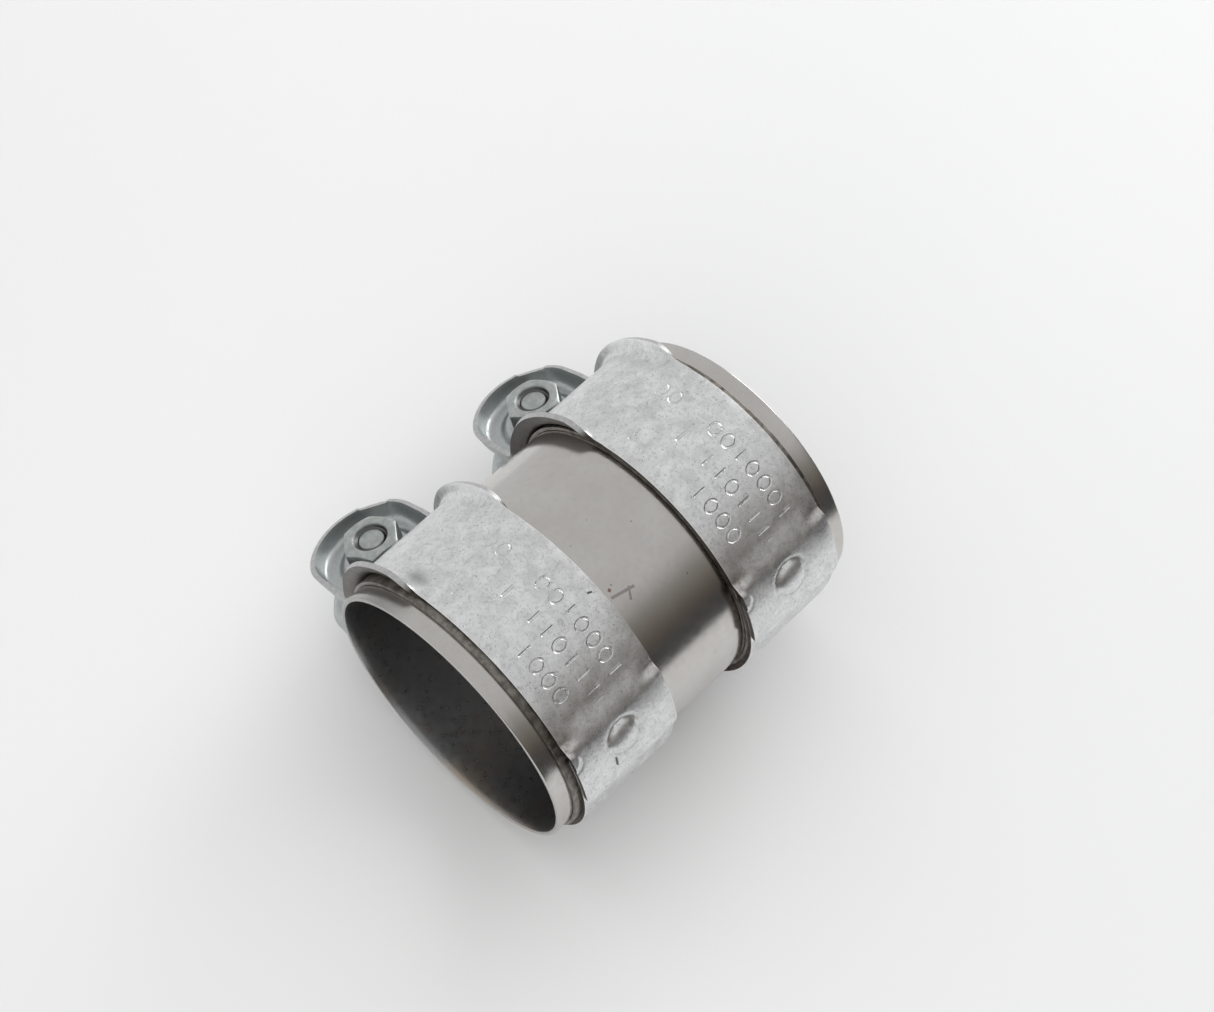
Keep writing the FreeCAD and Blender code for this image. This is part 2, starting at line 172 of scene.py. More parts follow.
def waves(points, length, seed):
    """A smooth random field of about -1 to 1 over points, with features of about that length."""
    draw = np.random.RandomState(seed)
    total = np.zeros(len(points))
    for _ in range(9):
        direction = draw.normal(size=3)
        direction *= 2 * math.pi / (length * draw.uniform(0.7, 1.6)) / np.linalg.norm(direction)
        total += np.sin(points @ direction + draw.uniform(0, 2 * math.pi))
    return total / 4


def place(points, y):
    """Upright clamp millimetres to metres in the row frame, for a clamp whose middle is at y."""
    c, s = math.cos(LEAN), math.sin(LEAN)
    x, z = points[:, 0], points[:, 2]
    return np.column_stack((x * c - z * s, points[:, 1] + y, x * s + z * c)) * MM


# ---------------------------------------------------------------- meshes


def piece(name, vertices, faces, body, nodes, material, values=None):
    """A mesh piece in metres that rides on body and stands for nodes.

    values holds named attributes, with a number or a vector for each point.
    """
    mesh = bpy.data.meshes.new(name)
    mesh.from_pydata([tuple(v) for v in vertices], [], [tuple(int(i) for i in f) for f in faces])
    for key, data in (values or {}).items():
        data = np.asarray(data, np.float32)
        kind, field = ("FLOAT_VECTOR", "vector") if data.ndim == 2 else ("FLOAT", "value")
        mesh.attributes.new(key, kind, "POINT").data.foreach_set(field, data.ravel())
    edit = bmesh.new()
    edit.from_mesh(mesh)
    bmesh.ops.remove_doubles(edit, verts=edit.verts, dist=WELD)
    edit.to_mesh(mesh)
    edit.free()
    mesh.validate()
    mesh.shade_smooth()
    mesh.materials.append(material)
    obj = bpy.data.objects.new(name, mesh)
    bpy.context.scene.collection.objects.link(obj)
    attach(obj, body)
    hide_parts(*nodes)
    return obj


def rounded(obj, width, angle):
    """Rounds the edges of a piece that turn by more than an angle in degrees."""
    bevel = obj.modifiers.new("rounded", "BEVEL")
    bevel.width = width * MM
    bevel.segments = 2
    bevel.limit_method = "ANGLE"
    bevel.angle_limit = math.radians(angle)
    bevel.harden_normals = True
    return obj


def grid_faces(rows, columns, offset=0, flip=False, closed=False):
    """Quads of a grid of points stored row by row; closed joins the last row to the first."""
    starts = np.arange(rows if closed else rows - 1)
    i, j = np.meshgrid(starts, np.arange(columns - 1), indexing="ij")
    a = i * columns + j
    b = ((i + 1) % rows) * columns + j
    quads = np.stack((a, a + 1, b + 1, b), axis=-1).reshape(-1, 4) + offset
    return quads[:, ::-1] if flip else quads


def lathe(profile, count):
    """Points and quads of a profile of (radius, height) turned about Z."""
    angles = np.arange(count) * 2 * math.pi / count
    r, z = np.array(profile, float).T
    points = [np.column_stack((r * math.cos(t), r * math.sin(t), z)) for t in angles]
    return np.concatenate(points), grid_faces(count, len(profile), closed=True)


# ---------------------------------------------------------------- strap


def polar(radius, degrees):
    """Side-view point at that angle above +X."""
    t = np.radians(degrees)
    return np.array([radius * np.cos(t), radius * np.sin(t)])


def run_length(points):
    """Distance along a polyline to each of its points."""
    steps = np.linalg.norm(np.diff(points, axis=0), axis=1)
    return np.concatenate(([0], np.cumsum(steps)))


def spaced(points, count):
    """A polyline's points spread evenly along it."""
    points = np.array(points)
    run = run_length(points)
    at = np.linspace(0, run[-1], count)
    return np.column_stack([np.interp(at, run, points[:, k]) for k in range(2)])


def rim_height(x):
    """Height of the cup's edge over the bore's axis, at distance x along the ear."""
    return np.interp(x, RIM_AT, RIM_HEIGHTS)


def sections(lap):
    """The strip from its lap end to its ear, as four arrays with a row for each section.

    They are the side-view points of its base and of its edge, and the half widths of both.
    """
    base, edge, edge_y, foot_y = [], [], [], []

    def add(p, e, ey, fy):
        base.append(p)
        edge.append(e)
        edge_y.append(ey)
        foot_y.append(fy)

    start = OUTER_LAP_START if lap else INNER_LAP_START
    first = np.array([0, 0.15, 0.5, 1.0, 1.7])
    near, plain = np.arange(start + 2.4, 25, 0.7), np.arange(25, FLANGE_START, 1.5)
    for t in np.concatenate((start + first, near, plain)):
        radius = BAND_OUTER
        if lap:
            radius = LAP_OUTER + (BAND_OUTER - LAP_OUTER) * smooth(t, *JOGGLE)
        corner = LAP_CORNER - math.radians(t - start) * radius
        half = BAND_HALF
        if corner > 0:
            half = BAND_HALF - (LAP_CORNER - math.sqrt(max(0, LAP_CORNER**2 - corner**2)))
        p = polar(radius, t)
        add(p, p, half, half - FOOT_INSET)
    for t in np.concatenate((np.arange(FLANGE_START, 105, 0.9), np.arange(105, FLANGE_END, 1.5))):
        p = polar(BAND_OUTER, t)
        rise = (FLANGE_TOP - BAND_OUTER) * smooth(t, *FLANGE_RISE) ** 0.8
        swell = EDGE_DROP * (1 - smooth(t, 106, 122))
        e = polar(BAND_OUTER + max(rise - EDGE_DROP + swell * smooth(t, 94, 103), 0), t)
        lift = smooth(t, FLANGE_START, 98)
        add(p, e, BAND_HALF + (FLANGE_HALF - BAND_HALF) * lift, BAND_HALF - FOOT_INSET)

    # From here to the bolt the base bends down into the ear's floor and the edge into its rim.
    bend_start = 180 - math.degrees(math.asin((FLOOR_TOP + BEND) / (BAND_OUTER + BEND)))
    low = [polar(BAND_OUTER, t) for t in np.linspace(FLANGE_END, bend_start, 8)]
    inward = math.radians(bend_start - 180)
    centre = np.array([-BEND_X, FLOOR_TOP + BEND])
    for t in np.linspace(inward, -math.pi / 2, 14)[1:]:
        low.append(centre + BEND * np.array([math.cos(t), math.sin(t)]))
    low.append(np.array([-BOLT_X, FLOOR_TOP]))
    level = float(rim_height(RIM_AT[0]))
    top_edge = FLANGE_TOP - EDGE_DROP
    round_x = -math.sqrt((top_edge + EDGE_ROUND) ** 2 - (level + EDGE_ROUND) ** 2)
    centre = np.array([round_x, level + EDGE_ROUND])
    meet = math.degrees(math.atan2(centre[1], centre[0]))
    high = [polar(top_edge, t) for t in np.linspace(FLANGE_END, meet, 6)]
    for t in np.linspace(math.radians(meet) - math.pi, -math.pi / 2, 9)[1:]:
        high.append(centre + EDGE_ROUND * np.array([math.cos(t), math.sin(t)]))
    high += [np.array([-x, float(rim_height(x))]) for x in np.linspace(-round_x + 0.3, BOLT_X, 5)]
    for p, e in zip(spaced(low, STRIP_ROWS), spaced(high, STRIP_ROWS)):
        add(p, e, FLANGE_HALF, WALL_FOOT)
    return np.array(base), np.array(edge), np.array(edge_y), np.array(foot_y)


def ear_reach(angle, half, tip):
    """Distance from the bolt to the cup's outline: straight sides run into a round tip."""
    side = half / max(math.sin(angle), 1e-6)
    return (side**-EAR_CORNER_POWER + tip**-EAR_CORNER_POWER) ** (-1 / EAR_CORNER_POWER)


FLAT_COLUMNS, BEND_COLUMNS, WALL_COLUMNS = 20, 6, 6


def cross_section(inner, foot, edge, fillet):
    """Points from inner along the flat, round a fillet at foot, and up the wall to edge."""
    flat, wall = inner - foot, edge - foot
    reach = min(fillet, 0.55 * np.linalg.norm(wall))
    a = foot + flat / np.linalg.norm(flat) * fillet
    b = foot + wall / np.linalg.norm(wall) * reach
    run = [inner + (a - inner) * t for t in np.linspace(0, 1, FLAT_COLUMNS, endpoint=False)]
    for t in np.linspace(0, 1, BEND_COLUMNS, endpoint=False):
        run.append(a * (1 - t) ** 2 + foot * 2 * t * (1 - t) + b * t * t)
    run += [b + (edge - b) * t for t in np.linspace(0, 1, WALL_COLUMNS)]
    return run


def strap_half(lap, nicked):
    """Rows of points across half of a strap, from its middle or bolt hole out to its edge.

    All have y >= 0. nicked flattens the corner of the ear.
    """
    base, edge, edge_y, foot_y = sections(lap)
    rows = []
    hole_start = BOLT_X - HOLE
    straight = np.array([max(0.0, -p[0] - hole_start) for p in base])
    length = straight[-1] + math.radians(90) * EAR_TIP
    for p, e, ey, fy, run in zip(base, edge, edge_y, foot_y, straight):
        inner = np.array([p[0], 0.0, p[1]])
        if run > 0:
            turn = math.pi * run / length
            inner = np.array([-BOLT_X + HOLE * math.cos(turn), HOLE * math.sin(turn), FLOOR_TOP])
        rim = np.array([e[0], ey, e[1]])
        rows.append(cross_section(inner, np.array([p[0], fy, p[1]]), rim, 1.5))
    for degrees in np.linspace(90, 180, EAR_TURNS)[1:]:
        angle = math.radians(degrees)
        turn = math.pi * (straight[-1] + math.radians(degrees - 90) * EAR_TIP) / length
        way = np.array([math.cos(angle), math.sin(angle)])
        foot_reach = ear_reach(angle, WALL_FOOT, EAR_TIP - 1.5)
        rim_reach = ear_reach(angle, FLANGE_HALF, EAR_TIP)
        drop = 0.0
        if nicked:
            off = abs(degrees - NICK_ANGLE)
            if off < NICK_HALF:
                chord = EAR_TIP * math.cos(math.radians(NICK_HALF))
                rim_reach = min(rim_reach, chord / math.cos(math.radians(degrees - NICK_ANGLE)))
            drop = 0.35 * float(smooth(off, NICK_HALF + 1, NICK_HALF - 1))
            rim_reach += 0.22 * math.exp(-(((off - 14.2) / 1.3) ** 2))
        inner = np.array([-BOLT_X + HOLE * math.cos(turn), HOLE * math.sin(turn), FLOOR_TOP])
        foot = np.array([-BOLT_X + foot_reach * way[0], foot_reach * way[1], FLOOR_TOP])
        x = -BOLT_X + rim_reach * way[0]
        rim = np.array([x, rim_reach * way[1], float(rim_height(-x)) - drop])
        rows.append(cross_section(inner, foot, rim, 1.3))
    return np.array(rows)


def press(points, lap, dent):
    """Presses the seat, the joggle's soft middle, button, nib, crease and dent into a strap."""
    x, y, z = points.T
    away = np.hypot(x + BOLT_X, y)
    seat = FLOOR_TOP + SEAT_RISE * (1 - smooth(away, SEAT_TOP, SEAT_FOOT))
    on_seat = (x < BAND_END_X) & (z < seat) & (away < SEAT_FOOT + 1)
    z = np.where(on_seat, np.maximum(z, seat), z)
    angle = np.degrees(np.arctan2(z, x))
    radius = np.hypot(x, z)
    on_band = x > BAND_END_X
    grow = np.zeros(len(points))
    if lap:
        soft = smooth(angle, *JOGGLE) - smooth(angle, *SOFT_JOGGLE)
        soft *= 1 - smooth(np.abs(y), 8.5, 13)
        grow += (LAP_OUTER - BAND_OUTER) * soft
        button = np.radians(angle - BUTTON_ANGLE) * LAP_OUTER
        off = np.hypot(button, y + 0.3) / BUTTON_RADIUS
        dome = np.clip(1 - (off / 1.04) ** 2, 0, None) ** 0.58
        skirt = 0.22 * hump((off - 1.1) / 0.12)
        grow += np.where(off < 1.6, BUTTON_RISE * dome - skirt, 0)
        nib = np.radians(angle - NIB_ANGLE) * LAP_OUTER
        nib = np.hypot(nib / 2.7, (y + BAND_HALF) / 2.3)
        grow += 0.55 * (1 - smooth(nib, 0.62, 1.05))
        grow -= 0.12 * hump((nib - 1.12) / 0.13)
        crease = np.radians(angle - CREASE_ANGLE) * BAND_OUTER
        grow -= 0.22 * hump(crease / 1.0, (y - BAND_HALF) / 4.5)
    if dent:
        dented = np.radians(angle - DENT_ANGLE) * BAND_OUTER
        grow -= 0.5 * hump(dented / 4.0, (y + 10.5) / 2.4)
    grow -= 0.2 * np.clip((np.abs(y) - BAND_HALF + 2.4) / 2.4, 0, 1) ** 2 * (angle < 86)
    grow += 0.055 * waves(np.column_stack((x, y, z)), 15, 5 if dent else 8)
    grow = np.where(on_band, grow, 0.5 * grow)
    scale = np.where(radius > 0, (radius + np.where(on_band, grow, 0)) / radius, 1)
    sunk = np.where(on_band, 0, grow * (z < FLOOR_TOP + 3))
    return np.column_stack((x * scale, y, z * scale + sunk))


def ear_values(points):
    """How much each point is in the ear, on the ear's wall, and clear of the sleeve."""
    x, y, z = points.T
    ear = smooth(-x, 36.5, 40)
    ear = np.where(z < 12, ear, 0)
    wall = ear * smooth(z, FLOOR_TOP + 0.2, FLOOR_TOP + 2.0)
    wall *= np.maximum(smooth(np.abs(y), 11.5, 13), smooth(-x - BOLT_X, 11.5, 13.5))
    raised = np.where(x < 5, smooth(np.hypot(x, z), 38.0, 39.6), 0)
    return {"ear": ear, "wall": wall, "bare": np.maximum(ear, raised)}


def lap_values(points, clamp, upper):
    """How much each point is stained, in a stamped row, and in painted shade beside the dent. Only
    the nut side is.
    """
    stain, marks, painted_dent_shade = np.zeros((3, len(points)))
    if upper:
        x, y, z = points.T
        angle = np.degrees(np.arctan2(z, x))
        for row in STAMP_ROWS:
            line = 1 - smooth(np.abs(y - row), 2.3, 2.8)
            marks = np.maximum(marks, line * smooth(angle, 20, 23) * (1 - smooth(angle, 86, 90)))
        if clamp == "front":
            # Painted shade beside the front clamp's dent, near where the flange starts.
            off = np.abs(y + 10.8) + 0.35 * np.abs(np.radians(angle - DENT_SHADE_ANGLE) * BAND_OUTER)
            painted_dent_shade = hump(off / 2.0) * smooth(angle, 88, 93) * (1 - smooth(angle, 100, 106))
        along = np.radians(angle - STAIN_ANGLE) * BAND_OUTER
        stain = hump(along / 2.6, (y + BAND_HALF) / 4.5)
        stain += 0.8 * hump(along / 2.2, (y - BAND_HALF) / 3.5)
    return {"stain": stain, "marks": marks, "painted_dent_shade": painted_dent_shade}


def strap(clamp, upper, materials):
    """A strap with its ear, as a thick sheet; upper is the nut side."""
    halves = []
    for side in (-1, 1):
        rows = strap_half(upper, nicked=upper and side > 0).copy()
        rows[:, :, 1] *= side
        halves.append(rows)
    rows, columns = halves[0].shape[:2]
    points = np.concatenate([h.reshape(-1, 3) for h in halves])
    faces = np.concatenate(
        (grid_faces(rows, columns, flip=True), grid_faces(rows, columns, offset=rows * columns))
    )
    run = np.tile(np.repeat(run_length(halves[0][:, -4]), columns), 2)
    values = {
        "strip": np.column_stack((run, points[:, 1], np.zeros(len(points)))),
        # The strip's edge columns, lightened in the material by wear and a painted highlight.
        "edge_wear_sheen": np.tile(smooth(np.linspace(0, 1, columns), 0.93, 1.0), 2 * rows),
    }
    points = press(points, upper, dent=upper and clamp == "front")
    values.update(ear_values(points))
    values.update(lap_values(points, clamp, upper))
    if not upper:
        points[:, 2] *= -1
        faces = faces[:, ::-1]
    name = "nut_side" if upper else "bolt_side"
    obj = piece(
        f"{clamp}_{name}_strap_sheet",
        place(points, CLAMPS[clamp]),
        faces,
        "root",
        [f"{clamp}_{name}_strap"],
        materials[0],
        values,
    )
    for other in materials[1:]:
        obj.data.materials.append(other)
    thick = obj.modifiers.new("thick", "SOLIDIFY")
    thick.material_offset_rim = 1
    thick.material_offset = 2
    thick.thickness = SHEET * MM
    thick.offset = -1
    thick.use_even_offset = True
    thick.use_quality_normals = True
    return rounded(obj, width=0.22, angle=55)


# ---------------------------------------------------------------- sleeve and liners


def along_bore(points):
    """Turns a lathe about Z into one about the bore, along Y, in metres."""
    return np.column_stack((points[:, 1], points[:, 2], points[:, 0])) * MM


def arc(radius, y, out, end, soft, turns):
    """Profile points round one edge of the sleeve, at turns in degrees.

    out is the side the edge faces, 1 outward and -1 inward; end is the end it is at, 1 or -1.
    """
    r, middle = radius - out * soft, y - end * soft
    turns = np.radians(turns)
    return [(r + out * soft * math.cos(t), middle + end * soft * math.sin(t)) for t in turns]


def sleeve(material):
    """The plain tube, with softened cut ends, opened very slightly at each end."""
    half, soft_out, soft_in, around = SLEEVE_HALF, 0.38, 0.16, 288
    profile = [(SLEEVE_RADIUS, y) for y in np.linspace(-half + soft_out, half - soft_out, 70)]
    profile += arc(SLEEVE_RADIUS, half, 1, 1, soft_out, (18, 36, 54, 72, 90))
    profile += arc(BORE_RADIUS, half, -1, 1, soft_in, (90, 60, 30))
    profile += [(BORE_RADIUS, y) for y in np.linspace(half - soft_in, -half + soft_in, 60)]
    profile += arc(BORE_RADIUS, -half, -1, -1, soft_in, (30, 60, 90))
    profile += arc(SLEEVE_RADIUS, -half, 1, -1, soft_out, (90, 72, 54, 36, 18))
    points, faces = lathe(profile, around)
    flare = 0.24 * np.clip((np.abs(points[:, 2]) - 43.2) / 4.3, 0, 1) ** 1.6
    scale = 1 + (0.02 * waves(points, 26, 3) + flare) / SLEEVE_RADIUS
    points *= np.column_stack((scale, scale, np.ones(len(points))))
    rows, columns = np.arange(around), len(profile)
    first, after = rows * columns, ((rows + 1) % around) * columns
    closing = np.column_stack((first + columns - 1, first, after, after + columns - 1))
    radius = np.hypot(points[:, 0], points[:, 1])
    inside = 1 - smooth(radius, BORE_RADIUS + 0.3, BORE_RADIUS + 0.55)
    # Painted reflection: one side of the front end is darkened where the band's flange would be
    # mirrored in it.
    painted_flange_reflection = (1 - smooth(points[:, 2], -44, -42.5)) * smooth(-points[:, 1], 8, 20) * (1 - inside)
    return piece(
        "sleeve_tube",
        along_bore(points),
        np.concatenate((faces, closing)),
        "root",
        ["sleeve"],
        material,
        {"inside": inside, "painted_flange_reflection": painted_flange_reflection},
    )


def liner(clamp, material):
    """A thin split ring between strap and sleeve, its lip past the band's outer side."""
    middle = CLAMPS[clamp]
    outer_side = math.copysign(1, middle)
    near = middle + outer_side * (BAND_HALF + LINER_LIP)
    far = middle - outer_side * (BAND_HALF - LINER_RECESS)
    low, high = min(near, far), max(near, far)
    soft = 0.18
    profile = []
    corners = [
        (LINER_OUTER, low, 1, -1),
        (LINER_OUTER, high, 1, 1),
        (LINER_INNER, high, -1, 1),
        (LINER_INNER, low, -1, -1),
    ]
    for k, (r, y, out, up) in enumerate(corners):
        for t in np.linspace(0, math.pi / 2, 4):
            turn = t if k % 2 else math.pi / 2 - t
            in_r, in_y = soft * (1 - math.cos(turn)), soft * (1 - math.sin(turn))
            profile.append((r - out * in_r, y - up * in_y))
    profile.append(profile[0])
    r, y = np.array(profile).T
    gap = math.degrees(LINER_GAP / LINER_OUTER)
    angles = np.radians(np.linspace(180 + gap / 2, 540 - gap / 2, 240))
    points = np.concatenate(
        [np.column_stack((r * math.cos(t), y, r * math.sin(t))) for t in angles]
    )
    scale = 1 + 0.02 * waves(points, 20, 11 if outer_side > 0 else 12) / LINER_OUTER
    points[:, 0] *= scale
    points[:, 2] *= scale
    count = len(profile)
    faces = [tuple(f) for f in grid_faces(len(angles), count)]
    faces.append(tuple(range(count - 1)))
    faces.append(tuple(range(len(points) - 2, len(points) - count - 1, -1)))
    return piece(
        f"{clamp}_liner_strip",
        place(points, 0),
        faces,
        "root",
        [f"{clamp}_liner_ring"],
        material,
    )


# ---------------------------------------------------------------- nut and bolt


def hexagon(angle):
    """Distance from axis to side of the hexagon, at an angle in radians."""
    return ACROSS_FLATS / 2 / np.cos((angle % (math.pi / 3)) - math.pi / 6)


def thread(angle, z, low, high, phase=0.0):
    """Radius of a right-hand screw surface between low and high."""
    wave = np.abs(((z / PITCH - angle / (2 * math.pi) + phase) % 1.0) * 2 - 1)
    return low + (high - low) * smooth(wave, 0.12, 0.88)


def ring_stack(rings, count):
    """Points and quads from functions of angle giving (radius, z), one per ring."""
    points, faces = [], []
    for ring in rings:
        for t in np.arange(count) * 2 * math.pi / count:
            radius, z = ring(t)
            points.append((math.cos(t) * radius, math.sin(t) * radius, z))
    for k in range(0, (len(rings) - 1) * count, count):
        for i in range(count):
            j = (i + 1) % count
            faces.append((k + i, k + j, k + count + j, k + count + i))
    return np.array(points, float), faces


def hex_rings(bottom, top, slope, rounding):
    """Rings up the side of a hexagon with chamfered corners, from bottom face to top face."""
    start = ACROSS_FLATS / 2 * FACE_SHARE

    def drop(t):
        return (hexagon(t) - start) * slope

    def chamfer(end, up):
        """Rings from the face at height end out to the side; up is 1 below and -1 on top."""
        return [
            lambda t: (start * 0.98, end),
            lambda t: (start + 0.02, end + up * 0.01),
            lambda t: (start + (hexagon(t) - start) * 0.93, end + up * drop(t) * 0.90),
            lambda t: (hexagon(t) - 0.015, end + up * drop(t) + up * rounding * 0.3),
            lambda t: (hexagon(t), end + up * drop(t) + up * rounding),
        ]

    def side(share):
        def ring(t):
            tall = top - bottom - 2 * drop(t) - 2 * rounding
            return hexagon(t), bottom + drop(t) + rounding + tall * share

        return ring

    sides = [side(share) for share in (0.25, 0.5, 0.75)]
    return chamfer(bottom, 1) + sides + chamfer(top, -1)[::-1]


def fastener(points, clamp, turn=0.0):
    """Points about a bolt's axis to metres in the row frame."""
    t = math.radians(turn)
    x, y, z = points.T
    c, s = math.cos(t), math.sin(t)
    return place(np.column_stack((x * c - y * s - BOLT_X, x * s + y * c, z)), CLAMPS[clamp])


def nut(clamp, material):
    """An M8 nut with chamfered corners, countersinks and a screw thread."""
    top, bottom = NUT_BOTTOM + NUT_HEIGHT, NUT_BOTTOM
    phase = -math.radians(NUT_TURN) / (2 * math.pi)
    rings = hex_rings(bottom, top, math.tan(math.radians(30)), 0.12)
    # Down the bore: a countersink, the thread and a countersink.
    rings.append(lambda t: (4.62, top))
    rings.append(lambda t: (4.5, top - 0.03))
    rings.append(lambda t: (4.12, top - 0.42))
    steps = int((NUT_HEIGHT - 2 * THREAD_SINK) / PITCH * 12)
    for z in np.linspace(top - THREAD_SINK, bottom + THREAD_SINK, steps):
        rings.append(lambda t, z=z: (float(thread(t, z, *NUT_THREAD, phase)), z))
    rings.append(lambda t: (4.12, bottom + 0.42))
    rings.append(lambda t: (4.5, bottom))
    points, faces = ring_stack(rings, RING_POINTS)
    last = (len(rings) - 1) * RING_POINTS
    for i in range(RING_POINTS):
        j = (i + 1) % RING_POINTS
        faces.append((last + i, last + j, j, i))
    radius = np.hypot(points[:, 0], points[:, 1])
    # Painted shade: dark in the threaded bore, and somewhat darker on the hexagon's sides below the
    # top.
    side = smooth(radius, 6.3, 6.5) * smooth(top - points[:, 2], 0.5, 1.0)
    painted_shade = np.maximum(1 - smooth(radius, 4.2, 4.55), 0.6 * side)
    return piece(
        f"{clamp}_nut_hex",
        fastener(points, clamp, NUT_TURN),
        faces,
        f"{clamp}_nut",
        [f"{clamp}_nut"],
        material,
        {"painted_shade": painted_shade},
    )


def bolt(clamp, material):
    """An M8 flange bolt, threaded all along, with its head below."""
    bottom, top, end = HEAD_TOP - HEAD_HEIGHT, HEAD_TOP, BOLT_END
    under = top - COLLAR_HEIGHT
    rings = [lambda t: (0.4, bottom + 0.1), lambda t: (4.2, bottom + 0.1), lambda t: (4.5, bottom)]
    # The head's chamfer and sides, without the rings of its top, run into the collar.
    rings += hex_rings(bottom, under, math.tan(math.radians(25)), 0.15)[:8]
    rings.append(lambda t: (hexagon(t), under - 0.1))
    rings.append(lambda t: (hexagon(t) * 0.8 + COLLAR_RADIUS * 0.2, under + 0.15))
    rings.append(lambda t: (COLLAR_RADIUS - 0.2, top - COLLAR_EDGE - 0.05))
    rings.append(lambda t: (COLLAR_RADIUS, top - COLLAR_EDGE + 0.1))
    rings.append(lambda t: (COLLAR_RADIUS, top - 0.15))
    rings.append(lambda t: (COLLAR_RADIUS - 0.15, top))
    rings.append(lambda t: (4.6, top))
    rings.append(lambda t: (4.1, top + 0.06))
    # Up the shank: a neck, the thread and a chamfered end.
    rings.append(lambda t: (3.75, top + 0.5))
    steps = int((end - top - 1.6) / PITCH * 10)
    for z in np.linspace(top + 0.9, end - 0.7, steps):
        rings.append(lambda t, z=z: (float(thread(t, z, *BOLT_THREAD)), z))
    rings.append(lambda t: (min(3.35, float(thread(t, end - 0.4, *BOLT_THREAD))), end - 0.3))
    rings.append(lambda t: (3.12, end - 0.06))
    rings.append(lambda t: (2.9, end))
    rings.append(lambda t: (1.5, end - 0.03))
    rings.append(lambda t: (0.3, end - 0.05))
    points, faces = ring_stack(rings, RING_POINTS)
    last = (len(rings) - 1) * RING_POINTS
    faces.append(tuple(range(RING_POINTS - 1, -1, -1)))
    faces.append(tuple(range(last, last + RING_POINTS)))
    radius = np.hypot(points[:, 0], points[:, 1])
    # Painted shade: dark over the bolt's thread.
    painted_shade = smooth(radius, 2.95, 3.2) * (points[:, 2] > top + 0.3)
    return piece(
        f"{clamp}_bolt_screw",
        fastener(points, clamp),
        faces,
        f"{clamp}_bolt",
        [f"{clamp}_bolt"],
        material,
        {"painted_shade": painted_shade},
    )


# ---------------------------------------------------------------- materials


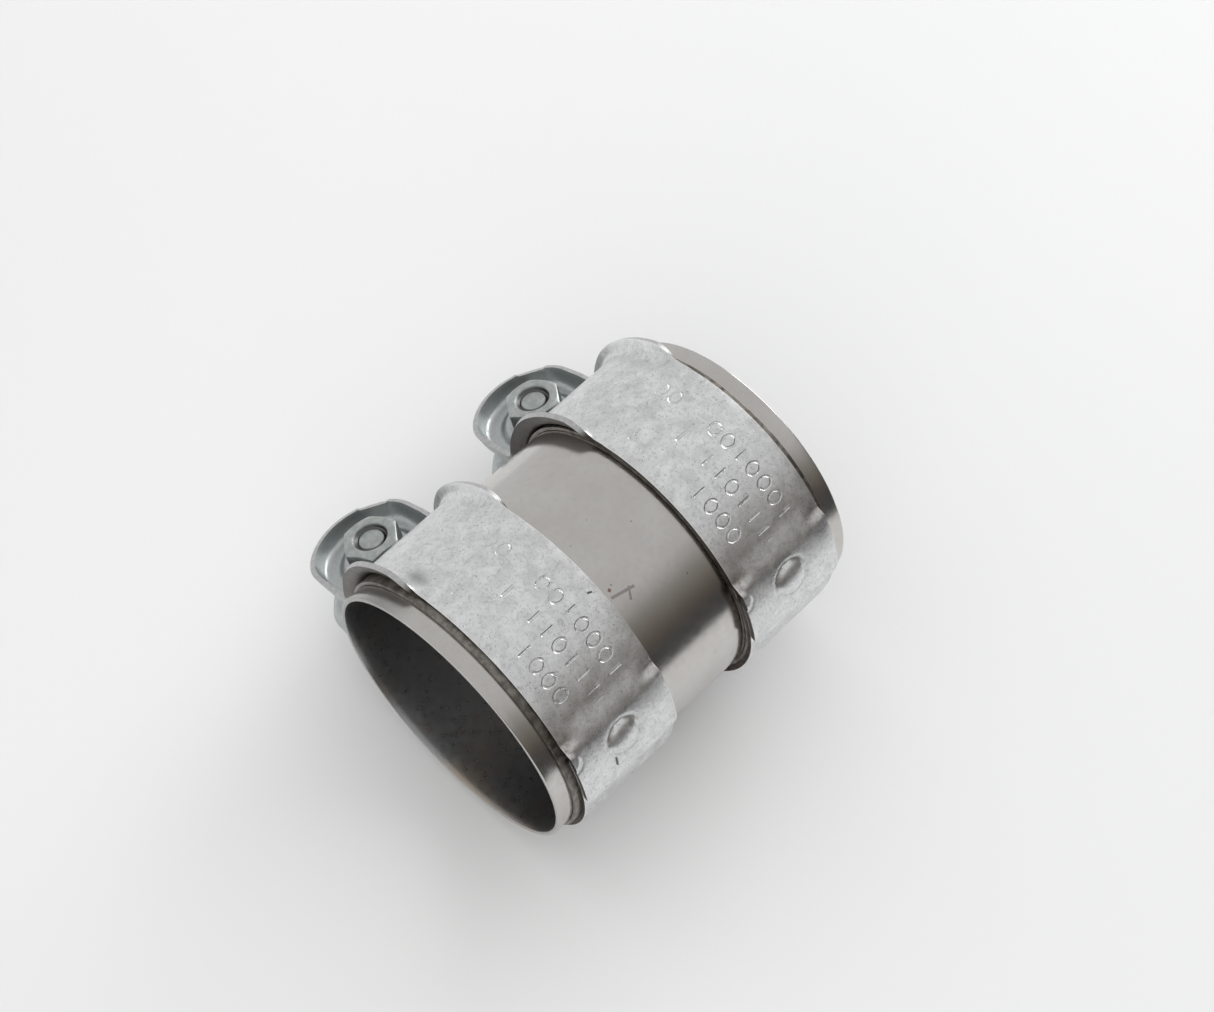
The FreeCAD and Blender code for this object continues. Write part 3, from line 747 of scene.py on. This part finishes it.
class Nodes:
    """A material's node tree, with short calls to add to it."""

    def __init__(self, name):
        self.material = bpy.data.materials.new(name)
        self.material.use_nodes = True
        self.tree = self.material.node_tree
        self.shader = self.tree.nodes["Principled BSDF"]

    def add(self, kind, **inputs):
        """Adds a node. Inputs are named by socket, with _ for a space, or by number as i0, i1.

        Each takes a value or another socket.
        """
        node = self.tree.nodes.new(kind)
        for key, value in inputs.items():
            self.set(node, key.replace("_", " "), value)
        return node

    def set(self, node, key, value):
        """Gives one input of a node a value or links it to a socket."""
        by_number = key[0] == "i" and key[1:].isdigit()
        self.link(node.inputs[int(key[1:]) if by_number else key], value)

    def link(self, socket, value):
        """Gives an input socket a value or links it to an output socket."""
        if isinstance(value, bpy.types.NodeSocket):
            self.tree.links.new(value, socket)
        else:
            socket.default_value = value

    def value(self, name, output="Fac"):
        """A point attribute as a number, or as a vector if output is Vector."""
        node = self.tree.nodes.new("ShaderNodeAttribute")
        node.attribute_name = name
        return node.outputs[output]

    def place(self, vector=None, scale=(1000, 1000, 1000), rotate=(0, 0, 0), move=(0, 0, 0)):
        """Object coordinates, or vector, scaled; in millimetres unless scale says otherwise."""
        if vector is None:
            vector = self.add("ShaderNodeTexCoord").outputs["Object"]
        node = self.add("ShaderNodeMapping", Vector=vector)
        for key, numbers in (("Scale", scale), ("Rotation", rotate), ("Location", move)):
            self.set(node, key, numbers)
        return node.outputs["Vector"]

    def noise(self, vector, scale, detail=3.0, rough=0.55, distortion=0.0):
        """A noise of that many features per unit."""
        node = self.add("ShaderNodeTexNoise", Vector=vector, Scale=scale, Detail=detail)
        self.set(node, "Roughness", rough)
        self.set(node, "Distortion", distortion)
        return node.outputs["Fac"]

    def ramp(self, value, low, high, a=0.0, b=1.0):
        """value from low..high mapped smoothly to a..b."""
        node = self.add("ShaderNodeMapRange", Value=value)
        node.interpolation_type = "SMOOTHSTEP"
        for key, number in (("From Min", low), ("From Max", high), ("To Min", a), ("To Max", b)):
            node.inputs[key].default_value = number
        return node.outputs["Result"]

    def math(self, operation, a, b=0.0):
        """A maths node."""
        node = self.add("ShaderNodeMath", i0=a, i1=b)
        node.operation = operation
        return node.outputs[0]

    def times(self, a, b):
        """a times b."""
        return self.math("MULTIPLY", a, b)

    def from_zero(self, value, low, high):
        """1 where value is within low of 0, either side, and 0 past high."""
        return self.ramp(self.math("ABSOLUTE", value), low, high, 1.0, 0.0)

    def mix(self, factor, a, b):
        """A colour mix, from a at 0 to b at 1."""
        node = self.tree.nodes.new("ShaderNodeMix")
        node.data_type = "RGBA"
        sockets = {socket.identifier: socket for socket in node.inputs}
        self.link(sockets["Factor_Float"], factor)
        self.link(sockets["A_Color"], a)
        self.link(sockets["B_Color"], b)
        return next(o for o in node.outputs if o.identifier == "Result_Color")

    def cover(self, color, mask, share, over):
        """color with over laid on it where mask is 1, at that share."""
        return self.mix(self.times(mask, share), color, over)

    def stroke(self, start, end, width):
        """1 on a straight line between two (x, y) in millimetres, drawn from above on the top."""
        (x0, y0), (x1, y1) = start, end
        turn = -math.atan2(y1 - y0, x1 - x0)
        x, y = (x0 + x1) / 2, (y0 + y1) / 2
        c, s = math.cos(turn), math.sin(turn)
        line = self.place(rotate=(0, 0, turn), move=(-x * c + y * s, -x * s - y * c, 0))
        split = self.add("ShaderNodeSeparateXYZ", Vector=line).outputs
        half = math.hypot(x1 - x0, y1 - y0) / 2
        along = self.from_zero(split["X"], half, half + 0.3)
        across = self.from_zero(split["Y"], width / 2, width / 2 + 0.12)
        return self.times(self.times(along, across), self.ramp(split["Z"], 0, 1))

    def bump(self, height, strength, distance, normal=None):
        """A bump of height, whose distance is in millimetres."""
        node = self.add("ShaderNodeBump", Height=height, Strength=strength, Distance=distance * MM)
        if normal is not None:
            self.set(node, "Normal", normal)
        return node.outputs["Normal"]

    def finish(self, color, roughness, normal=None, metallic=1.0, grazing=1.0):
        """Sets the surface; grazing is a metal's share of full reflection at a grazing angle."""
        self.set(self.shader, "Base Color", color)
        self.set(self.shader, "Roughness", roughness)
        self.set(self.shader, "Metallic", metallic)
        self.set(self.shader, "Specular Tint", (grazing, grazing, grazing, 1.0))
        if normal is not None:
            self.set(self.shader, "Normal", normal)
        return self.material


def grey(level, warm=0.0):
    """A near-neutral colour."""
    return (level * (1 + warm), level, level * (1 - warm), 1.0)


def stamp(n, strip):
    """1 on rows of plain rings and bars along the strip, like a rubbed stamping.

    It spells nothing.
    """
    split = n.add("ShaderNodeSeparateXYZ", Vector=strip).outputs
    column = n.math("DIVIDE", split["X"], STAMP_COLUMN)
    row = n.math("DIVIDE", n.math("ADD", split["Y"], STAMP_EDGE), STAMP_ROW)
    cell = n.add("ShaderNodeCombineXYZ", X=n.math("FLOOR", column), Y=n.math("FLOOR", row))
    pick = n.add("ShaderNodeTexWhiteNoise", Vector=cell.outputs[0]).outputs["Value"]
    x = n.times(n.math("SUBTRACT", n.math("FRACT", column), 0.5), STAMP_COLUMN)
    y = n.times(n.math("SUBTRACT", n.math("FRACT", row), 0.5), STAMP_ROW)
    squares = n.math("ADD", n.math("POWER", n.times(x, 1.3), 2.0), n.math("POWER", y, 2.0))
    ring = n.from_zero(n.math("SUBTRACT", n.math("SQRT", squares), 1.75), 0.12, 0.42)
    bar = n.times(n.from_zero(x, 0.12, 0.42), n.from_zero(y, 1.6, 1.9))
    ring = n.times(ring, n.math("GREATER_THAN", pick, 0.55))
    return n.math("MAXIMUM", ring, n.times(bar, n.math("LESS_THAN", pick, 0.38)))


def strap_underside():
    """Back of the strip: matt zinc on the outer side of the ears, and painted shade, dark, where
    the band lies over the sleeve.
    """
    n = Nodes("strip_underside")
    at = n.place()
    cloud = n.noise(at, 0.5, 4.0, 0.65)
    clear = n.mix(n.ramp(cloud, 0.3, 0.7), (0.42, 0.445, 0.445, 1), (0.56, 0.58, 0.58, 1))
    # Painted shade: the back is dark wherever it is not on an ear.
    color = n.mix(n.value("ear"), grey(0.2, 0.06), clear)
    normal = n.bump(n.noise(at, 6.0, 3.0, 0.65), 0.4, 0.04)
    return n.finish(color, n.ramp(cloud, 0.3, 0.7, 0.40, 0.5), normal)


def zinc_strap():
    """Zinc-coated strip: satin and mottled on the band, rougher in the ears, which painted shade
    darkens.

    It has rubbed pressed marks on the band, brown stains at the joggle, and edges lightened by wear
    and a painted highlight.
    """
    n = Nodes("zinc_coated_strip")
    at = n.place()
    strip = n.value("strip", "Vector")
    blotch = n.noise(at, 0.28, 5.0, 0.62, 0.4)
    spangle = n.noise(at, 1.3, 3.0, 0.6, 0.6)
    grain = n.noise(at, 7.0, 2.0, 0.6)
    color = n.mix(n.ramp(blotch, 0.3, 0.72), grey(0.70, -0.008), grey(0.90, -0.008))
    color = n.cover(color, n.ramp(spangle, 0.50, 0.34), 0.4, grey(0.42))
    color = n.cover(color, n.ramp(grain, 0.52, 0.70), 0.25, grey(0.95))
    # Painted shade: darker in the ears and darkest on their walls.
    ear = n.value("ear")
    color = n.cover(color, ear, 0.75, (0.44, 0.47, 0.47, 1))
    color = n.cover(color, n.value("wall"), 0.6, (0.22, 0.24, 0.24, 1))
    # Scratches both ways along the strip, grime and specks.
    rub = n.noise(n.place(strip, (0.09, 2.4, 1.0)), 1.0, 5.0, 0.7)
    fine = n.noise(n.place(strip, (0.5, 0.02, 1.0), move=(7, 3, 0)), 4.0, 4.0, 0.75)
    scratch = n.math("MAXIMUM", n.ramp(rub, 0.66, 0.72), n.ramp(fine, 0.70, 0.76))
    color = n.cover(color, scratch, 0.35, grey(0.9))
    color = n.cover(color, n.ramp(n.noise(at, 0.42, 6.0, 0.75, 1.0), 0.58, 0.70), 0.55, grey(0.34))
    speck = n.ramp(n.noise(n.place(move=(3, 9, 1)), 2.3, 1.0, 0.4), 0.735, 0.76)
    color = n.cover(color, speck, 0.75, (0.08, 0.07, 0.06, 1))
    # Placed marks: two dark spots, the stain at the joggle, edges lightened by wear and a painted
    # highlight, and painted shade beside the dent.
    low_spot = n.stroke((37.5, -31.6), (37.6, -31.3), 0.7)
    top_spot = n.stroke((13.3, -15.6), (13.6, -14.8), 0.35)
    color = n.cover(color, n.math("MAXIMUM", low_spot, top_spot), 0.9, (0.05, 0.045, 0.04, 1))
    uneven = n.ramp(n.noise(at, 0.9, 3.0, 0.6), 0.3, 0.66, 0.1, 0.65)
    color = n.cover(color, n.value("stain"), uneven, (0.27, 0.19, 0.13, 1))
    # Edges lightened by wear and a painted highlight, less so in the ears.
    worn_sheen = n.times(n.value("edge_wear_sheen"), n.math("SUBTRACT", 0.8, n.times(ear, 0.6)))
    # Painted shade beside the dent.
    color = n.cover(color, n.value("painted_dent_shade"), n.ramp(spangle, 0.25, 0.6, 0.5, 0.9), grey(0.33))
    color = n.mix(worn_sheen, color, grey(0.9))
    rough = n.math("ADD", n.ramp(blotch, 0.3, 0.7, 0.27, 0.37), n.times(ear, 0.05))
    rough = n.math("ADD", rough, n.ramp(spangle, 0.3, 0.6, 0.06, -0.02))
    # The stamped rows, fainter in some blotches.
    stamped = n.times(stamp(n, strip), n.value("marks"))
    stamped = n.times(stamped, n.ramp(blotch, 0.40, 0.52, 0.35, 1.0))
    color = n.cover(color, stamped, 0.12, grey(0.4))
    normal = n.bump(grain, 0.35, 0.035)
    normal = n.bump(spangle, 0.5, 0.08, normal)
    normal = n.bump(scratch, 0.25, 0.02, normal)
    normal = n.bump(n.math("SUBTRACT", 1.0, stamped), 0.9, 0.2, normal)
    metallic = n.math("ADD", 0.94, n.times(ear, 0.06))
    return n.finish(color, rough, normal, metallic, grazing=0.88)


def strap_edge():
    """Cut edge of the strip: plain grey where it stands clear, and near the sleeve dark brown,
    oxide deepened by painted shade.
    """
    n = Nodes("strip_cut_edge")
    at = n.place()
    cloud = n.noise(at, 0.9, 4.0, 0.7)
    clear = n.mix(n.ramp(cloud, 0.3, 0.7), grey(0.50), grey(0.66))
    # Near the sleeve: brown oxide, darkened further by painted shade.
    oxide_and_shade = n.mix(n.ramp(cloud, 0.35, 0.68), (0.03, 0.025, 0.02, 1), (0.17, 0.14, 0.115, 1))
    color = n.mix(n.value("bare"), oxide_and_shade, clear)
    normal = n.bump(n.noise(at, 5.0, 3.0, 0.7), 0.5, 0.05)
    return n.finish(color, n.ramp(cloud, 0.3, 0.7, 0.45, 0.55), normal)


def stainless():
    """Mill-finish stainless sheet: smooth and a little warm outside, rougher inside, where painted
    shade darkens the bore.

    It has one scribed line, a speck beside it and, on one side at the front end, a painted
    reflection of the band's flange.
    """
    n = Nodes("stainless_sheet")
    at = n.place()
    cloud = n.noise(at, 0.09, 3.0, 0.55)
    haze = n.noise(at, 0.6, 4.0, 0.6)
    grain = n.noise(at, 9.0, 2.0, 0.6)
    color = n.mix(n.ramp(cloud, 0.3, 0.7), (0.575, 0.555, 0.53, 1), (0.62, 0.605, 0.585, 1))
    color = n.cover(color, n.ramp(haze, 0.45, 0.7), 0.25, (0.53, 0.51, 0.485, 1))
    mark = n.ramp(n.noise(n.place(move=(5, 2, 7)), 0.75, 2.0, 0.5), 0.745, 0.765)
    inside = n.value("inside")
    mark = n.times(mark, n.math("SUBTRACT", 1.0, inside))
    color = n.cover(color, mark, 0.6, (0.16, 0.12, 0.09, 1))
    # Painted shade: the bore is given a darker colour than the outside, with a brownish patch.
    patch = n.ramp(n.noise(n.place(move=(0, 4, 3)), 0.05, 3.0, 0.6), 0.45, 0.7)
    inner = n.mix(patch, (0.40, 0.405, 0.415, 1), (0.48, 0.43, 0.375, 1))
    color = n.mix(inside, color, inner)
    rough = n.math("ADD", n.ramp(haze, 0.3, 0.7, 0.17, 0.23), n.times(inside, 0.10))
    long_line = n.stroke((16.4, -11.3), (17.5, -5.6), 0.5)
    short_line = n.stroke((16.9, -6.6), (19.0, -8.0), 0.4)
    scribed = n.math("MAXIMUM", long_line, short_line)
    # The painted reflection of the band's flange darkens one side of the front end.
    color = n.cover(color, n.value("painted_flange_reflection"), 0.6, (0.20, 0.20, 0.195, 1))
    color = n.cover(color, scribed, 0.7, (0.24, 0.23, 0.22, 1))
    color = n.cover(color, n.stroke((14.8, -10.7), (15.1, -10.5), 0.6), 0.85, (0.20, 0.09, 0.06, 1))
    return n.finish(color, rough, n.bump(grain, 0.1, 0.006), grazing=0.94)


def liner_steel():
    """Dull thin strip, greasy brown in places."""
    n = Nodes("liner_strip")
    at = n.place()
    cloud = n.noise(at, 0.5, 4.0, 0.6)
    color = n.mix(n.ramp(cloud, 0.35, 0.65), (0.15, 0.135, 0.12, 1), (0.33, 0.31, 0.285, 1))
    grease = n.ramp(n.noise(n.place(move=(1, 5, 2)), 0.16, 4.0, 0.6), 0.55, 0.7)
    color = n.cover(color, grease, 0.6, (0.16, 0.12, 0.09, 1))
    rough = n.ramp(cloud, 0.3, 0.7, 0.34, 0.46)
    return n.finish(color, rough, n.bump(n.noise(at, 5.0, 2.0, 0.6), 0.3, 0.03))


def zinc_fastener():
    """Matt zinc plating on a forged fastener, in light flecks, with painted shade in threads and
    recesses and on the nut's sides.
    """
    n = Nodes("zinc_plated_fastener")
    at = n.place()
    cloud = n.noise(at, 0.55, 4.0, 0.65)
    grain = n.noise(at, 6.0, 3.0, 0.6)
    color = n.mix(n.ramp(cloud, 0.3, 0.7), (0.40, 0.43, 0.42, 1), (0.54, 0.57, 0.56, 1))
    color = n.cover(color, n.ramp(grain, 0.6, 0.72), 0.4, grey(0.75))
    # Painted shade in threads and recesses and on the nut's sides.
    color = n.cover(color, n.value("painted_shade"), 0.85, (0.085, 0.085, 0.08, 1))
    return n.finish(color, n.ramp(grain, 0.3, 0.7, 0.36, 0.5), n.bump(grain, 0.4, 0.05))


def floor_material():
    """Plain pale studio floor."""
    n = Nodes("pale_floor")
    tone = n.noise(n.place(scale=(1, 1, 1)), 2.0, 2.0, 0.5)
    color = n.mix(n.ramp(tone, 0.3, 0.7), (0.79, 0.795, 0.80, 1), (0.82, 0.822, 0.825, 1))
    n.shader.inputs["Specular IOR Level"].default_value = 0.2
    return n.finish(color, 0.75, metallic=0.0)


# ---------------------------------------------------------------- build

strap_materials = [zinc_strap(), strap_edge(), strap_underside()]
fastener_zinc = zinc_fastener()
liner_finish = liner_steel()
sleeve(stainless())
for clamp_name in CLAMPS:
    strap(clamp_name, True, strap_materials)
    strap(clamp_name, False, strap_materials)
    liner(clamp_name, liner_finish)
    nut(clamp_name, fastener_zinc)
    bolt(clamp_name, fastener_zinc)

# ---------------------------------------------------------------- floor, light and camera

floor_z = cad_box[0].z
centre = Vector((0, 0, 0))


def flat_ring(name, inner, outer, count=64):
    """A flat piece of floor between two radii round the object, or a disc if inner is 0."""
    mesh = bpy.data.meshes.new(name)
    turns = [2 * math.pi * k / count for k in range(count)]
    vertices = [(r * math.cos(t), r * math.sin(t), floor_z) for r in (inner, outer) for t in turns]
    faces = [(k, count + k, count + (k + 1) % count, (k + 1) % count) for k in range(count)]
    if inner == 0:
        vertices = [(0, 0, floor_z)] + vertices[count:]
        faces = [(0, 1 + k, 1 + (k + 1) % count) for k in range(count)]
    mesh.from_pydata(vertices, [], faces)
    obj = bpy.data.objects.new(name, mesh)
    bpy.context.scene.collection.objects.link(obj)
    return obj


TABLE_REACH = 0.2
FLOOR_REACH = 6.0
pale = floor_material()
table = flat_ring("floor", 0, TABLE_REACH)
beyond = flat_ring("floor_beyond", TABLE_REACH, FLOOR_REACH)
for part in (table, beyond):
    part.data.materials.append(pale)
# Metal reflects only the floor close by; farther out it reflects the room instead.
beyond.visible_glossy = False


def area_light(name, location, size, energy, color=(1, 1, 1), glossy=True):
    """A square soft light that faces the object; glossy says if metal reflects its shape."""
    data = bpy.data.lights.new(name, "AREA")
    data.size = size
    data.energy = energy
    data.color = color
    obj = bpy.data.objects.new(name, data)
    obj.location = location
    obj.rotation_mode = "QUATERNION"
    obj.rotation_quaternion = (centre - Vector(location)).to_track_quat("-Z", "Y")
    obj.visible_glossy = glossy
    bpy.context.scene.collection.objects.link(obj)


area_light("overhead", (-0.4, 0.5, 1.3), 3.0, 15.5, (1, 0.998, 0.994), glossy=False)
area_light("fill", (0.8, -0.8, 0.9), 1.4, 5.5, glossy=False)
area_light("window", (-0.15, 1.0, 0.25), 0.6, 4.2)


def world():
    """A pale room: bright to the left and overhead, dark and a little brown low to the right.

    Only light and reflections come from it. The camera itself sees plain pale grey.
    """
    scene = bpy.context.scene
    scene.world = bpy.data.worlds.new("studio")
    scene.world.use_nodes = True
    tree = scene.world.node_tree
    tree.nodes.clear()

    def new(kind):
        return tree.nodes.new(kind)

    coords = new("ShaderNodeTexCoord").outputs["Generated"]
    split = new("ShaderNodeSeparateXYZ")
    tree.links.new(coords, split.inputs[0])

    def ramp(source, stops):
        node = new("ShaderNodeValToRGB")
        remap = new("ShaderNodeMapRange")
        remap.inputs["From Min"].default_value = -1
        tree.links.new(source, remap.inputs["Value"])
        tree.links.new(remap.outputs["Result"], node.inputs["Fac"])
        elements = node.color_ramp.elements
        while len(elements) < len(stops):
            elements.new(0.5)
        for element, (at, color) in zip(elements, stops):
            element.position = (at + 1) / 2
            element.color = (*color, 1)
        return node.outputs["Color"]

    bright = ramp(
        split.outputs["Z"],
        [
            (-0.6, (0.70, 0.70, 0.70)),
            (0.0, (0.70, 0.70, 0.70)),
            (0.5, (0.68, 0.68, 0.675)),
            (0.8, (0.66, 0.66, 0.655)),
            (1.0, (0.66, 0.66, 0.655)),
        ],
    )
    dark = ramp(
        split.outputs["Z"],
        [
            (-0.5, (0.08, 0.08, 0.08)),
            (-0.05, (0.07, 0.07, 0.068)),
            (0.13, (0.12, 0.10, 0.09)),
            (0.30, (0.20, 0.18, 0.155)),
            (0.46, (0.28, 0.27, 0.255)),
            (0.60, (0.48, 0.475, 0.47)),
            (0.72, (0.64, 0.64, 0.64)),
            (1.0, (0.68, 0.68, 0.68)),
        ],
    )
    turn = math.radians(12)
    side = new("ShaderNodeVectorMath")
    side.operation = "DOT_PRODUCT"
    side.inputs[1].default_value = (math.cos(turn), math.sin(turn), 0)
    tree.links.new(coords, side.inputs[0])
    share = new("ShaderNodeMapRange")
    share.interpolation_type = "SMOOTHSTEP"
    share.inputs["From Min"].default_value = -0.15
    share.inputs["From Max"].default_value = 0.45
    tree.links.new(side.outputs["Value"], share.inputs["Value"])
    mix = new("ShaderNodeMix")
    mix.data_type = "RGBA"
    tree.links.new(share.outputs["Result"], mix.inputs["Factor"])
    colors = [s for s in mix.inputs if s.type == "RGBA"]
    tree.links.new(bright, colors[0])
    tree.links.new(dark, colors[1])
    seen = next(o for o in mix.outputs if o.type == "RGBA")
    room = new("ShaderNodeBackground")
    tree.links.new(seen, room.inputs["Color"])
    plain = new("ShaderNodeBackground")
    plain.inputs["Color"].default_value = (0.8, 0.8, 0.8, 1)
    choose = new("ShaderNodeMixShader")
    path = new("ShaderNodeLightPath")
    tree.links.new(path.outputs["Is Camera Ray"], choose.inputs[0])
    tree.links.new(room.outputs[0], choose.inputs[1])
    tree.links.new(plain.outputs[0], choose.inputs[2])
    output = new("ShaderNodeOutputWorld")
    tree.links.new(choose.outputs[0], output.inputs["Surface"])


world()

camera_data = bpy.data.cameras.new("camera")
camera_data.lens = 65.24
camera_data.sensor_width = 36.0
camera_data.sensor_fit = "HORIZONTAL"
camera = bpy.data.objects.new("camera", camera_data)
camera.location = (0.1684, -0.1691, 0.4558)
camera.rotation_mode = "QUATERNION"
look = -Vector((0.3453, -0.3550, 0.8687))
camera.rotation_quaternion = look.to_track_quat("-Z", "Y")
bpy.context.scene.collection.objects.link(camera)
bpy.context.scene.camera = camera
bpy.context.scene.view_settings.view_transform = "Standard"
